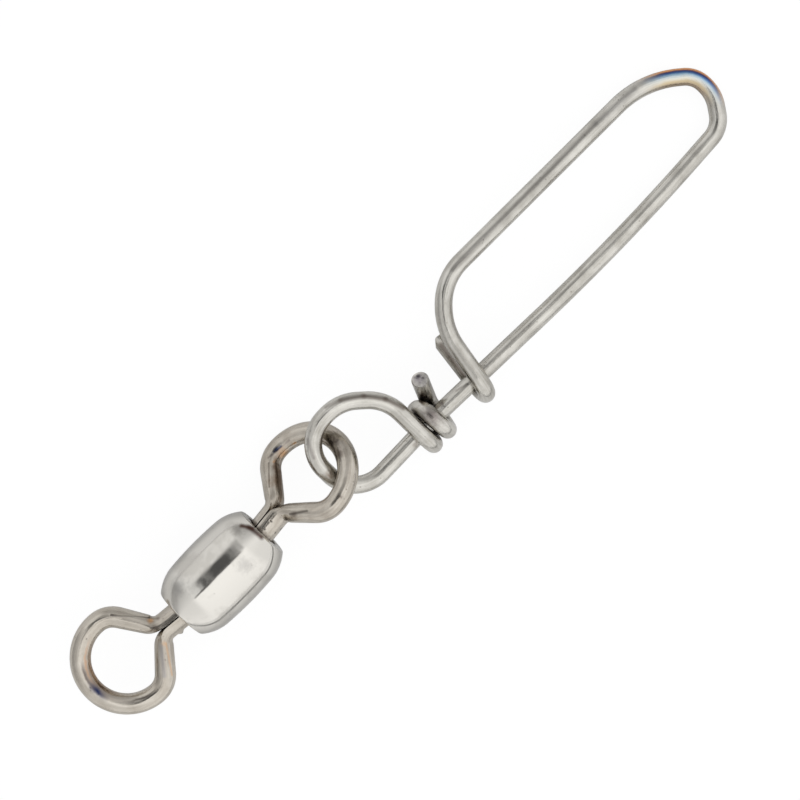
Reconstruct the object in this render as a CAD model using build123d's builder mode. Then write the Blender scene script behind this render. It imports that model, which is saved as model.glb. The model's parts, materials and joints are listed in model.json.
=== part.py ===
from build123d import *

import os
from math import asin, cos, radians, sin, sqrt

# Rolling swivel with a one-wire snap linked to it, lying flat. Sizes in millimetres.
# +X runs from the line eye to the far bend of the snap, and +Z is up.
# The origin is the centre of the hole in the line eye.

# Barrel: a polished tube, swaged in at both ends over the heads of the eyes
barrel_length = 8.1
barrel_diameter = 5.77
barrel_end_diameter = 4.0
shoulder_length = 1.85
belly_crown = 0.09
barrel_wall = 0.6
end_wall = 0.75
end_hole_diameter = 2.4
bearing_width = 0.55
cavity_shoulder = 0.9
barrel_edge_round = 0.08

# Eyes: bent wire, with both legs coined to half rounds that make up one shaft
eye_wire = 1.5
eye_mean_diameter = 6.5
eye_shoulder_radius = 1.73
neck_angle = 53.0
neck_bend_radius = 1.0
neck_thickness = 1.2
neck_width = 1.7
shaft_diameter = 2.0
shaft_reach = 1.5
parting_gap = 0.05
parting_groove = 0.06
head_diameter = 3.0
head_thickness = 0.7
head_crown = 0.15
head_play = 0.06

# How the eyes lie: the lean of each shaft in its hole, and its turn about itself
line_eye_lean = 5.9
link_eye_lean = 5.7
line_eye_turn = 4.0
link_eye_turn = 32.0

# Snap: one wire with a sheared stub, a coil round its own shank and an eye
snap_wire = 1.25
wire_end_round = 0.08
stub_length = 3.5
stub_rise_angle = 59.3
stub_swing_angle = 68.0
stub_foot_x = 1.95
stub_foot_y = 0.91
stub_bend_radius = 0.84
coil_gap = 0.02
coil_pitch = 1.34
coil_roundness = 0.94
snap_eye_length = 6.52
snap_eye_height = 5.54
snap_eye_radius = 2.65
snap_eye_lift = 1.67
eye_flank_x = 2.22
eye_flank_y = 2.93
eye_flank_radius = 3.8

# Snap: the long loop from the coil round the far bend and back to the latch
shank_dip = 0.1
coil_exit_x = 1.35
bow_x = 19.4
bow_depth = 0.8
bow_radius = 38.0
loop_length = 31.35
loop_height = 5.9
bend_foot_run = 1.4
bend_foot_y = -0.3
nose_low_y = 1.65
nose_high_y = 3.49
bend_top_run = 2.8
bend_foot_radius = 2.0
nose_low_radius = 2.7
nose_high_radius = 1.8
bend_top_radius = 7.0

# Snap: the latch, which crosses over the shank, turns under it and comes back
latch_shoulder_x = 8.76
latch_shoulder_y = 6.26
latch_knee_x = 6.32
latch_knee_y = 3.8
latch_shoulder_radius = 4.2
latch_knee_radius = 4.9
hook_x = 5.31
hook_skew = 0.32
tail_length = 5.3
tail_angle = 81.7

# How the snap lies: loose in the link eye, and down on its bend and its tail
link_slack = 0.67
link_side_offset = 1.13
snap_heading = 0.57

# What follows from these sizes
barrel_radius = barrel_diameter / 2
end_radius = barrel_end_diameter / 2
hole_radius = end_hole_diameter / 2
half_length = barrel_length / 2
eye_radius = eye_mean_diameter / 2
shaft_radius = shaft_diameter / 2
head_radius = head_diameter / 2
steepest_lean = radians(max(line_eye_lean, link_eye_lean))
head_face = end_wall / 2 + head_play + head_radius * sin(steepest_lean)
neck = radians(neck_angle)
leg_offset = shaft_radius / 2
neck_top_y = eye_radius - eye_shoulder_radius * (1 - cos(neck))
neck_foot_y = leg_offset + neck_bend_radius * (1 - cos(neck))
leg_x = end_wall / 2 + shaft_reach
neck_foot_x = leg_x + neck_bend_radius * sin(neck)
neck_top_x = neck_foot_x + (neck_top_y - neck_foot_y) * cos(neck) / sin(neck)
eye_x = neck_top_x + eye_shoulder_radius * sin(neck)

# Each shaft leans about a pivot in the middle of its end wall, on the barrel's axis
line_way = Vector(-1, 0, 0).rotate(Axis.Z, -line_eye_lean)
link_way = Vector(1, 0, 0).rotate(Axis.Z, link_eye_lean)
line_pivot = line_way * -eye_x
barrel_middle = line_pivot + Vector(half_length - end_wall / 2, 0, 0)
link_pivot = line_pivot + Vector(barrel_length - end_wall, 0, 0)


def eye_plane(pivot, way, turn):
    # Local X runs out along the shaft, and local Z is the normal of the eye
    upright = Vector(0, 0, 1).rotate(Axis((0, 0, 0), way), -turn)
    return Plane(origin=pivot, x_dir=way, z_dir=upright)


def wire_section(plane, crown, side, edge, root):
    # Two arcs that meet at the side edges: the crown faces out, the root faces the other leg
    with BuildSketch(plane) as section:
        with BuildLine():
            ThreePointArc((edge, -side), (crown, 0), (edge, side))
            ThreePointArc((edge, side), (root, 0), (edge, -side))
        make_face()
    return section.sketch


# Barrel: crowned belly, drawn-in shoulders, and a cavity behind each flat end
belly_end = (half_length - shoulder_length, barrel_radius - belly_crown)
face_inside = half_length - end_wall
bearing_radius = hole_radius + bearing_width
cavity_end = (face_inside - cavity_shoulder, barrel_radius - barrel_wall)
barrel_axis = Axis(barrel_middle, (1, 0, 0))

with BuildPart() as barrel:
    with BuildSketch(Plane(origin=barrel_middle, x_dir=(1, 0, 0), z_dir=(0, -1, 0))):
        with BuildLine():
            belly = ThreePointArc((-belly_end[0], belly_end[1]), (0, barrel_radius), belly_end)
            for end in (1, -1):
                TangentArc(
                    (end * belly_end[0], belly_end[1]),
                    (end * half_length, end_radius),
                    tangent=(end, (belly % 1).Y / (belly % 1).X),
                )
                Polyline(
                    (end * half_length, end_radius),
                    (end * half_length, hole_radius),
                    (end * face_inside, hole_radius),
                    (end * face_inside, bearing_radius),
                )
                TangentArc(
                    (end * cavity_end[0], cavity_end[1]),
                    (end * face_inside, bearing_radius),
                    tangent=(end, 0),
                )
            Line((-cavity_end[0], cavity_end[1]), cavity_end)
        make_face()
    revolve(axis=barrel_axis)
    rims = barrel.edges().filter_by(GeomType.CIRCLE)
    rims = rims.filter_by(lambda rim: abs(rim.radius - end_radius) < barrel_edge_round)
    fillet(rims, barrel_edge_round)
barrel.part.label = "barrel"

# Eye form, made once with its shaft along X: one half, then its mirror image
edge_y = (parting_gap + parting_groove) / 2
half_round = (
    shaft_radius - leg_offset,
    sqrt(shaft_radius**2 - edge_y**2),
    edge_y - leg_offset,
    parting_gap / 2 - leg_offset,
)
round_wire = (eye_wire / 2, eye_wire / 2, 0, -eye_wire / 2)
flattened = (neck_thickness / 2, neck_width / 2, half_round[2] / 4, -neck_thickness / 2)
half_coined = tuple((a + b) / 2 for a, b in zip(flattened, half_round))


def neck_plane(x, y, angle):
    # Local X faces out from the other leg, and local Z runs towards the barrel
    return Plane(
        origin=(x, y, 0),
        x_dir=(-sin(angle), cos(angle), 0),
        z_dir=(-cos(angle), -sin(angle), 0),
    )


with BuildPart() as eye_form:
    # Head: a domed disc behind the end wall, of which each leg carries one half
    with BuildSketch():
        with BuildLine():
            Polyline(
                (-head_face - head_thickness - head_crown, 0),
                (-head_face, 0),
                (-head_face, head_radius),
                (-head_face - head_thickness, head_radius),
            )
            ThreePointArc(
                (-head_face - head_thickness, head_radius),
                (-head_face - head_thickness - head_crown * 0.75, head_radius / 2),
                (-head_face - head_thickness - head_crown, 0),
            )
        make_face()
    revolve(axis=Axis.X)
    split(bisect_by=Plane((0, parting_gap / 2, 0), z_dir=(0, 1, 0)), keep=Keep.TOP)

    # Leg: a half round from the head to the start of the neck
    leg_end = wire_section(neck_plane(leg_x, leg_offset, 0), *half_round)
    extrude(leg_end, amount=leg_x + head_face + head_thickness / 2)

    # Neck: the half round swells back to round wire as it turns out to the shoulder
    half_turn = neck / 2
    loft(
        [
            wire_section(neck_plane(neck_top_x, neck_top_y, neck), *round_wire),
            wire_section(neck_plane(neck_foot_x, neck_foot_y, neck), *flattened),
            wire_section(
                neck_plane(
                    leg_x + neck_bend_radius * sin(half_turn),
                    leg_offset + neck_bend_radius * (1 - cos(half_turn)),
                    half_turn,
                ),
                *half_coined,
            ),
            leg_end,
        ]
    )

    # Bow: round wire from the shoulder to the outermost point of the eye
    with BuildLine() as bow:
        quarter = CenterArc((eye_x, 0), eye_radius, 0, 90)
        CenterArc((eye_x, eye_radius - eye_shoulder_radius), eye_shoulder_radius, 90, neck_angle)
    with BuildSketch(Plane(origin=quarter @ 0, z_dir=quarter % 0)):
        Circle(eye_wire / 2)
    sweep(path=bow.line)
    mirror(about=Plane.XZ)

with BuildPart() as line_eye:
    with Locations(eye_plane(line_pivot, line_way, line_eye_turn).location):
        add(eye_form.part)
line_eye.part.label = "line_eye"

with BuildPart() as link_eye:
    with Locations(eye_plane(link_pivot, link_way, link_eye_turn).location):
        add(eye_form.part)
link_eye.part.label = "link_eye"

# Snap wire: its corners and bend radii, in a frame along the shank under the coil
coil_reach = snap_wire + coil_gap
coil_bend = coil_reach * coil_roundness
stub_rise = radians(stub_rise_angle)
stub_swing = radians(stub_swing_angle)
tail = radians(tail_angle)


def shank_y(x):
    return -bow_depth * (x - coil_exit_x) / (bow_x - coil_exit_x)


hook_y = shank_y(hook_x) - coil_reach
wire_route = [
    (
        (
            stub_foot_x + stub_length * cos(stub_rise) * cos(stub_swing),
            stub_foot_y + stub_length * cos(stub_rise) * sin(stub_swing),
            stub_length * sin(stub_rise) - coil_reach,
        ),
        None,
    ),
    ((stub_foot_x, stub_foot_y, -coil_reach), stub_bend_radius),
]
# Two turns of the coil, from the stub back to the eye
for share, side, level in [(1.2, -1, -1), (1.03, -1, 1), (1, 1, 1), (0.47, 1, -1), (0.14, -1, -1), (0, -1, 1)]:
    wire_route.append(((share * coil_pitch, side * coil_reach, level * coil_reach), coil_bend))
wire_route += [
    # Eye, which climbs to pass over the link eye and comes down beside the shank
    ((0, eye_flank_y, coil_reach), eye_flank_radius),
    ((-eye_flank_x, snap_eye_height, snap_eye_lift), eye_flank_radius),
    ((-snap_eye_length, snap_eye_height, snap_eye_lift), snap_eye_radius),
    ((-snap_eye_length, -shank_dip, 0), snap_eye_radius),
    # Shank through the coil, and the bowed lower arm
    ((coil_exit_x, 0, 0), bow_radius),
    ((bow_x, -bow_depth, 0), bow_radius),
    # Far bend
    ((loop_length - bend_foot_run, bend_foot_y, 0), bend_foot_radius),
    ((loop_length, nose_low_y, 0), nose_low_radius),
    ((loop_length, nose_high_y, 0), nose_high_radius),
    ((loop_length - bend_top_run, loop_height, 0), bend_top_radius),
    # Upper arm and latch
    ((latch_shoulder_x, latch_shoulder_y, coil_reach), latch_shoulder_radius),
    ((latch_knee_x, latch_knee_y, coil_reach), latch_knee_radius),
    ((hook_x, hook_y, coil_reach), coil_bend),
    ((hook_x - hook_skew, hook_y, -coil_reach), coil_bend),
    (
        (
            hook_x - hook_skew + tail_length * cos(tail),
            hook_y + tail_length * sin(tail),
            -coil_reach,
        ),
        None,
    ),
]

# The snap rests on the far bend and on the tail under the shank
slope = asin(coil_reach / (loop_length - hook_x))
heading = radians(snap_heading)
snap_way = Vector(cos(heading) * cos(slope), sin(heading) * cos(slope), -sin(slope))
snap_up = Vector(cos(heading) * sin(slope), sin(heading) * sin(slope), cos(slope))
snap_across = snap_up.cross(snap_way)
link_tip = link_pivot + link_way * (eye_x + eye_radius)
snap_tip = link_tip - Vector((eye_wire + snap_wire) / 2 + link_slack, link_side_offset, 0)
snap_origin = snap_tip + snap_way * snap_eye_length - snap_across * snap_eye_height / 2
snap_origin.Z = snap_wire / 2 - barrel_radius + loop_length * sin(slope)

with BuildPart() as snap:
    with BuildLine(Plane(origin=snap_origin, x_dir=snap_way, z_dir=snap_up)) as snap_path:
        FilletPolyline(
            [corner for corner, bend in wire_route],
            radius=[bend for corner, bend in wire_route if bend],
        )
    with BuildSketch(Plane(origin=snap_path.line @ 0, z_dir=snap_path.line % 0)):
        Circle(snap_wire / 2)
    sweep(path=snap_path.line)
    fillet(snap.faces().filter_by(GeomType.PLANE).edges(), wire_end_round)
snap.part.label = "snap"

os.makedirs("parts", exist_ok=True)
export_step(barrel.part, "parts/barrel.step")
export_step(line_eye.part, "parts/line_eye.step")
export_step(link_eye.part, "parts/link_eye.step")
export_step(snap.part, "parts/snap.step")
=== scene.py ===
import json
import math

import bpy
import numpy as np
from mathutils import Matrix, Vector
from mathutils.bvhtree import BVHTree
from mathutils.kdtree import KDTree


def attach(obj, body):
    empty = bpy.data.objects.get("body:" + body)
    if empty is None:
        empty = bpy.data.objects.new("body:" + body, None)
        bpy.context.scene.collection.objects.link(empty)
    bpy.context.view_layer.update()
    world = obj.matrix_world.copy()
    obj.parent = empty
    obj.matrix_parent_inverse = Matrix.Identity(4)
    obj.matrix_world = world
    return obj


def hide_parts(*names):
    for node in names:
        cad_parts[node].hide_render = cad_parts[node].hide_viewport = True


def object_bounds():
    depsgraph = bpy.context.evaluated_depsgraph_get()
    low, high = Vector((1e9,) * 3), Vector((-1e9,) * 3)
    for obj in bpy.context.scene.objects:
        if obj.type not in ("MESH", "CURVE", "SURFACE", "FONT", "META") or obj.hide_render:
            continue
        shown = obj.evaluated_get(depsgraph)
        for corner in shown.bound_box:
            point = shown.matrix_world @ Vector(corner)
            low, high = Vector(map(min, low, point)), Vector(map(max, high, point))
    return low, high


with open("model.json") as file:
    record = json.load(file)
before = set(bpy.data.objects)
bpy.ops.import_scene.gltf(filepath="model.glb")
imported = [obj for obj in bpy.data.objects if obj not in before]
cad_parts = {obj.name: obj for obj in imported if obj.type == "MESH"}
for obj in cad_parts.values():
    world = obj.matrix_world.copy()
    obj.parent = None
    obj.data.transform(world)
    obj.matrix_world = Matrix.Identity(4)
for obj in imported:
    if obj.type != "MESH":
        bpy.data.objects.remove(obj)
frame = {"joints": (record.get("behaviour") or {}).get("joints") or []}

mm = 0.001  # the frame is in metres, and the sizes below are in millimetres
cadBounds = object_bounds()
joints = {joint["name"]: joint for joint in frame["joints"]}


# Paths and sections

def unit(vector):
    return vector / np.linalg.norm(vector)


def addStraight(path, end, step):
    start = path[-1]
    count = max(1, round(np.linalg.norm(end - start) / step))
    for k in range(1, count + 1):
        path.append(start + (end - start) * k / count)


def filletedPath(corners, bends, step):
    # straight runs joined by arcs, one bend radius for each corner between the ends
    corners = [np.array(corner, float) for corner in corners]
    path = [corners[0]]
    for before, corner, after, bend in zip(corners, corners[1:], corners[2:], bends):
        way = unit(corner - before)
        out = unit(after - corner)
        turn = math.acos(np.clip(way @ out, -1, 1))
        inward = unit(out - way * (way @ out))
        start = corner - way * bend * math.tan(turn / 2)
        addStraight(path, start, step)
        count = max(2, round(bend * turn / step))
        for k in range(1, count + 1):
            angle = turn * k / count
            path.append(start + bend * (way * math.sin(angle) + inward * (1 - math.cos(angle))))
    addStraight(path, corners[-1], step)
    return np.array(path)


def addArc(path, centre, radius, start, end, step):
    # an arc in the plane z = 0, with its angles in degrees
    count = max(2, round(radius * abs(math.radians(end - start)) / step))
    for k in range(1, count + 1):
        angle = math.radians(start + (end - start) * k / count)
        x, y = centre[0] + radius * math.cos(angle), centre[1] + radius * math.sin(angle)
        path.append(np.array([x, y, 0.0]))


def pathLengths(path):
    return np.concatenate([[0], np.cumsum(np.linalg.norm(np.diff(path, axis=0), axis=1))])


def pathWays(path):
    ways = np.gradient(path, axis=0)
    return ways / np.linalg.norm(ways, axis=1)[:, None]


def carriedFrames(path, anchor, lead):
    # carries the direction `lead` both ways from the anchor point along the path, without twist
    ways = pathWays(path)
    leads = np.zeros_like(path)
    leads[anchor] = unit(lead - ways[anchor] * (ways[anchor] @ lead))
    for order in (range(anchor + 1, len(path)), range(anchor - 1, -1, -1)):
        last = anchor
        for k in order:
            carried = leads[last]
            leads[k] = unit(carried - ways[k] * (ways[k] @ carried))
            last = k
    return ways, leads, np.cross(ways, leads)


def sectionPoints(crown, side, edge, root, count):
    # two arcs through the side edges: `count` points on the crown and as many on the root
    leastBulge = 1e-6  # a flat side is an arc with next to no bulge

    def halfLoop(peak, start):
        bulge = peak - edge
        if abs(bulge) < leastBulge:
            bulge = leastBulge
        radius = (side * side + bulge * bulge) / (2 * bulge)
        centre = peak - radius
        reach = math.atan2(side, edge - centre) if radius > 0 else math.atan2(side, centre - edge)
        angles = np.linspace(-reach, reach, count, endpoint=False) * start
        return np.stack([centre + radius * np.cos(angles), abs(radius) * np.sin(angles)], axis=1)

    return np.concatenate([halfLoop(crown, 1), halfLoop(root, -1)])


# Meshes

sharpAngle = 40
capShares = (0.8, 0.5, 0.22)  # the rings of an end cap, as shares of the wire's radius


def addObject(name, data):
    made = bpy.data.objects.new(name, data)
    bpy.context.scene.collection.objects.link(made)
    return made


def finishMesh(name, verts, faces, drawn=None):
    mesh = bpy.data.meshes.new(name)
    mesh.from_pydata((np.array(verts) * mm).tolist(), [], faces)
    if drawn:
        # where each point lies across the wire and along it
        layer = mesh.attributes.new("drawn", "FLOAT_VECTOR", "POINT")
        layer.data.foreach_set("vector", np.array(drawn, np.float32).ravel())
    mesh.polygons.foreach_set("use_smooth", [True] * len(mesh.polygons))
    mesh.set_sharp_from_angle(angle=math.radians(sharpAngle))
    return addObject(name, mesh)


def tubeFaces(rings, around, closed=False):
    # quads between rings of points; a closed tube ends at its first ring
    faces = []
    for ring in range(rings if closed else rings - 1):
        base, ahead = ring * around, (ring + 1) % rings * around
        for k in range(around):
            after = (k + 1) % around
            faces.append((base + k, base + after, ahead + after, ahead + k))
    return faces


def closedTube(verts, rings, around, centres):
    # the faces of a tube, and of rings that are added to its points to close both ends
    faces = [face[::-1] for face in tubeFaces(rings, around)]
    for start, centre, inwards in ((0, centres[0], False), ((rings - 1) * around, centres[-1], True)):
        ring = verts[start : start + around]
        last = list(range(start, start + around))
        for share in capShares:
            new = list(range(len(verts), len(verts) + around))
            verts += [centre + (point - centre) * share for point in ring]
            for k in range(around):
                after = (k + 1) % around
                quad = (last[k], last[after], new[after], new[k])
                faces.append(quad[::-1] if inwards else quad)
            last = new
        faces.append(tuple(last[::-1]) if inwards else tuple(last))
    return faces


def turnedMesh(profile, origin, way, across, start, end, steps):
    # revolves a closed profile of (along, radius) points about the axis through origin
    around = len(profile)
    up = np.cross(way, across)
    full = abs(end - start) >= 360
    rings = steps if full else steps + 1
    verts = []
    for k in range(rings):
        angle = math.radians(start + (end - start) * k / steps)
        out = across * math.cos(angle) + up * math.sin(angle)
        verts += [origin + way * along + out * radius for along, radius in profile]
    faces = tubeFaces(rings, around, full)
    if not full:
        faces += [tuple(range(around))[::-1], tuple(range(steps * around, rings * around))]
    return verts, faces


def tangentArc(start, tangent, end, count):
    # the arc that leaves start along tangent and passes through end, in the plane of a profile
    start, end = np.array(start, float), np.array(end, float)
    tangent = unit(np.array(tangent, float))
    normal = np.array([-tangent[1], tangent[0]])
    chord = end - start
    radius = (chord @ chord) / (2 * (normal @ chord))
    centre = start + normal * radius
    first = math.atan2(*(start - centre)[::-1])
    last = math.atan2(*(end - centre)[::-1])
    turn = (last - first + math.pi) % (2 * math.pi) - math.pi
    angles = first + turn * np.arange(1, count + 1) / count
    return [centre + abs(radius) * np.array([math.cos(a), math.sin(a)]) for a in angles]


# Barrel

barrelSizes = {
    "length": 8.1,
    "diameter": 5.77,
    "endDiameter": 4.0,
    "shoulder": 1.85,
    "crown": 0.09,
    "wall": 0.6,
    "endWall": 0.75,
    "holeDiameter": 2.4,
    "bearing": 0.55,
    "cavityShoulder": 0.9,
    "rimRound": 0.08,
    "holeRound": 0.06,
    "sides": 160,
    "bellySteps": 12,
    "shoulderSteps": 22,
    "rimSteps": 6,
    "cavitySteps": 8,
}


def barrelProfile(sizes):
    # one half from the middle of the belly to the middle of the cavity, then its mirror image
    half, outer = sizes["length"] / 2, sizes["diameter"] / 2
    endRadius, hole = sizes["endDiameter"] / 2, sizes["holeDiameter"] / 2
    bellyEnd = np.array([half - sizes["shoulder"], outer - sizes["crown"]])
    bellyRadius = (bellyEnd[0] ** 2 + sizes["crown"] ** 2) / (2 * sizes["crown"])
    lean = math.asin(bellyEnd[0] / bellyRadius)
    points = []
    for k in range(sizes["bellySteps"]):
        angle = lean * k / sizes["bellySteps"]
        points.append((bellyRadius * math.sin(angle), outer - bellyRadius * (1 - math.cos(angle))))
    points.append(tuple(bellyEnd))
    corner = np.array([half, endRadius])
    falling = (math.cos(lean), -math.sin(lean))
    shoulder = tangentArc(bellyEnd, falling, corner, sizes["shoulderSteps"])
    rim = sizes["rimRound"]
    points += [tuple(p) for p in shoulder if np.linalg.norm(p - corner) > rim]
    before, after = np.array(points[-1]), np.array([half, endRadius - rim])
    for k in range(1, sizes["rimSteps"] + 1):
        share = k / sizes["rimSteps"]
        rest = 1 - share
        points.append(tuple(before * rest**2 + corner * 2 * share * rest + after * share**2))
    inside = half - sizes["endWall"]
    hub = hole + sizes["bearing"]
    bevel = sizes["holeRound"]
    points += [(half, (endRadius + hole) / 2), (half, hole + bevel)]
    points += [(half - bevel / 3, hole + bevel / 4), (half - bevel, hole)]
    points += [(inside, hole), (inside, hub)]
    cavity = (inside - sizes["cavityShoulder"], outer - sizes["wall"])
    hollow = tangentArc(cavity, (1, 0), (inside, hub), sizes["cavitySteps"])[:-1]
    points += [tuple(p) for p in reversed(hollow)] + [cavity]
    mirrored = [(-along, radius) for along, radius in reversed(points) if along > 1e-9]
    return points + mirrored


spins = [joints["line_eye_spin"], joints["link_eye_spin"]]
linePivot, linkPivot = (np.array(joint["pos_m"]) / mm for joint in spins)
lineWay, linkWay = (unit(np.array(joint["axis"])) for joint in spins)
barrelWay = unit(linkPivot - linePivot)
barrelMiddle = (linePivot + linkPivot) / 2
barrelAcross = np.array([0.0, 1.0, 0.0])
verts, faces = turnedMesh(
    barrelProfile(barrelSizes), barrelMiddle, barrelWay, barrelAcross, 0, 360, barrelSizes["sides"]
)
barrel = finishMesh("swivelBarrel", verts, faces)
print("barrel made")


# Eyes

eyeSizes = {
    "wire": 1.5,
    "meanDiameter": 6.5,
    "shoulderRadius": 1.73,
    "neckAngle": 53.0,
    "neckBend": 1.0,
    "neckThickness": 1.36,
    "neckWidth": 1.66,
    "shaftDiameter": 2.0,
    "shaftReach": 1.5,
    "partingGap": 0.05,
    "partingGroove": 0.06,
    "headDiameter": 3.0,
    "headThickness": 0.7,
    "headCrown": 0.15,
    "headPlay": 0.06,
    "blend": 0.35,
    "step": 0.09,
    "halfAround": 22,
    "domeSteps": 6,
    "headSteps": 24,
    "leastGirth": 0.42,  # of a coined leg, where closeness is measured
}
lineEyeSizes = {"turn": 4.0, "lean": 5.9}
linkEyeSizes = {"turn": 32.0, "lean": 5.7}


def eyePath(sizes):
    # from the head along one leg, round the bow and back to the other half of the head
    neck = math.radians(sizes["neckAngle"])
    legOffset = sizes["shaftDiameter"] / 4
    legX = barrelSizes["endWall"] / 2 + sizes["shaftReach"]
    ring, shoulder, bend = sizes["meanDiameter"] / 2, sizes["shoulderRadius"], sizes["neckBend"]
    topY = ring - shoulder * (1 - math.cos(neck))
    footX, footY = legX + bend * math.sin(neck), legOffset + bend * (1 - math.cos(neck))
    topX = footX + (topY - footY) / math.tan(neck)
    eyeX = topX + shoulder * math.sin(neck)
    leaning = math.radians(max(lineEyeSizes["lean"], linkEyeSizes["lean"]))
    headRadius = sizes["headDiameter"] / 2
    headFace = barrelSizes["endWall"] / 2 + sizes["headPlay"] + headRadius * math.sin(leaning)
    path = [np.array([-headFace - sizes["headThickness"] / 2, legOffset, 0.0])]
    addStraight(path, np.array([legX, legOffset, 0.0]), sizes["step"])
    marks = [legX + headFace + sizes["headThickness"] / 2]
    addArc(path, (legX, legOffset + bend), bend, -90, -90 + sizes["neckAngle"], sizes["step"] / 2)
    marks.append(marks[0] + bend * neck)
    addStraight(path, np.array([topX, topY, 0.0]), sizes["step"])
    marks.append(marks[1] + math.hypot(topX - footX, topY - footY))
    addArc(path, (eyeX, ring - shoulder), shoulder, 90 + sizes["neckAngle"], 90, sizes["step"])
    addArc(path, (eyeX, 0), ring, 90, 0, sizes["step"])
    half = np.array(path)
    other = half[:-1][::-1] * (1, -1, 1)
    return np.concatenate([half, other]), marks, headFace, eyeX


def smoothed(rows, reach):
    # each row becomes the mean of its neighbours on both sides
    padded = np.pad(rows, ((reach, reach), (0, 0)), mode="edge")
    return np.mean([padded[k : k + len(rows)] for k in range(2 * reach + 1)], axis=0)


def wireForms(sizes, lengths, marks):
    # the section at each point: half round on the shaft, coined oval on the neck, then round
    shaft, wire = sizes["shaftDiameter"] / 2, sizes["wire"] / 2
    edge = (sizes["partingGap"] + sizes["partingGroove"]) / 2
    flatSide = sizes["partingGap"] / 2 - shaft / 2
    halfRound = np.array([shaft / 2, math.sqrt(shaft**2 - edge**2), edge - shaft / 2, flatSide])
    thick, wide = sizes["neckThickness"] / 2, sizes["neckWidth"] / 2
    flattened = np.array([thick, wide, 0.0, -thick])
    roundWire = np.array([wire, wire, 0.0, -wire])
    kinds = [halfRound, (halfRound + flattened) / 2, flattened, roundWire]
    stations = [marks[0], (marks[0] + marks[1]) / 2, marks[1], marks[2]]
    travel = np.minimum(lengths, lengths[-1] - lengths)
    forms = np.stack([np.interp(travel, stations, values) for values in zip(*kinds)], axis=1)
    return smoothed(forms, round(sizes["blend"] / sizes["step"]))


def headMesh(sizes, headFace, side):
    # one half of the domed head behind the end wall of the barrel
    radius, back, count = sizes["headDiameter"] / 2, -headFace - sizes["headThickness"], sizes["domeSteps"]
    crown = sizes["headCrown"]
    dome = [(back - crown * (1 - (k / count) ** 2), radius * k / count) for k in range(count)]
    profile = [(-headFace, 0.0)] + dome + [(back, radius), (-headFace, radius)]
    origin = np.array([0.0, side * sizes["partingGap"] / 2, 0.0])
    way, across = np.array([1.0, 0.0, 0.0]), np.array([0.0, 0.0, -1.0])
    start = 0 if side > 0 else 180
    return turnedMesh(profile, origin, way, across, start, start + 180, sizes["headSteps"])


def eyeMesh(name, sizes, placing, pivot, way):
    path, marks, headFace, eyeX = eyePath(sizes)
    lengths = pathLengths(path)
    ways = pathWays(path)
    upright = np.array([0.0, 0.0, 1.0])
    verts, drawn, centres = [], [], []
    for k, (point, form) in enumerate(zip(path, wireForms(sizes, lengths, marks))):
        outward = np.cross(upright, ways[k])
        for x, y in sectionPoints(*form, sizes["halfAround"]):
            verts.append(point + outward * x + upright * y)
            drawn.append((x, y, lengths[k]))
        centres.append((point, max(sizes["leastGirth"], abs(form[3]))))
    around = 2 * sizes["halfAround"]
    faces = closedTube(verts, len(path), around, path)
    for start in (0, (len(path) - 1) * around):
        drawn += [drawn[start]] * around * len(capShares)
    for side in (1, -1):
        headVerts, headFaces = headMesh(sizes, headFace, side)
        first = len(verts)
        verts += headVerts
        faces += [tuple(first + index for index in face) for face in headFaces]
        drawn += [(v[1], v[2], 0.0) for v in headVerts]
    # local X runs out along the shaft, and local Z is the normal of the eye
    turn = Matrix.Rotation(math.radians(-placing["turn"]), 3, Vector(way))
    normal = np.array(turn @ Vector((0, 0, 1)))
    normal = unit(normal - way * (normal @ way))
    axes = np.stack([way, np.cross(normal, way), normal])
    wireLine = [(np.array(point) @ axes + pivot, girth) for point, girth in centres]
    return finishMesh(name, np.array(verts) @ axes + pivot, faces, drawn), wireLine


lineEye, lineWire = eyeMesh("lineEye", eyeSizes, lineEyeSizes, linePivot, lineWay)
linkEye, linkWire = eyeMesh("linkEye", eyeSizes, linkEyeSizes, linkPivot, linkWay)

# a burr on one shaft and a nick in the other: place, reach and move of each
pulls = {
    "lineEye": [((4.0, -1.3, 0.0), 0.3, (0.0, -0.38, 0.0))],
    "linkEye": [((13.97, -1.15, 0.35), 0.2, (0.0, 0.05, -0.07))],
}
pullFalloff = 1.5


def pullMesh(piece, marks):
    # the points near a place move together, less with distance
    mesh = piece.data
    points = np.zeros(len(mesh.vertices) * 3)
    mesh.vertices.foreach_get("co", points)
    points = points.reshape(-1, 3) / mm
    for place, reach, move in marks:
        away = np.linalg.norm(points - place, axis=1) / reach
        points += np.outer(np.clip(1 - away, 0, 1) ** pullFalloff, move)
    mesh.vertices.foreach_set("co", (points * mm).ravel())
    mesh.update()


for piece in (lineEye, linkEye):
    pullMesh(piece, pulls[piece.name])
print("eyes made")


# Snap

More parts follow.
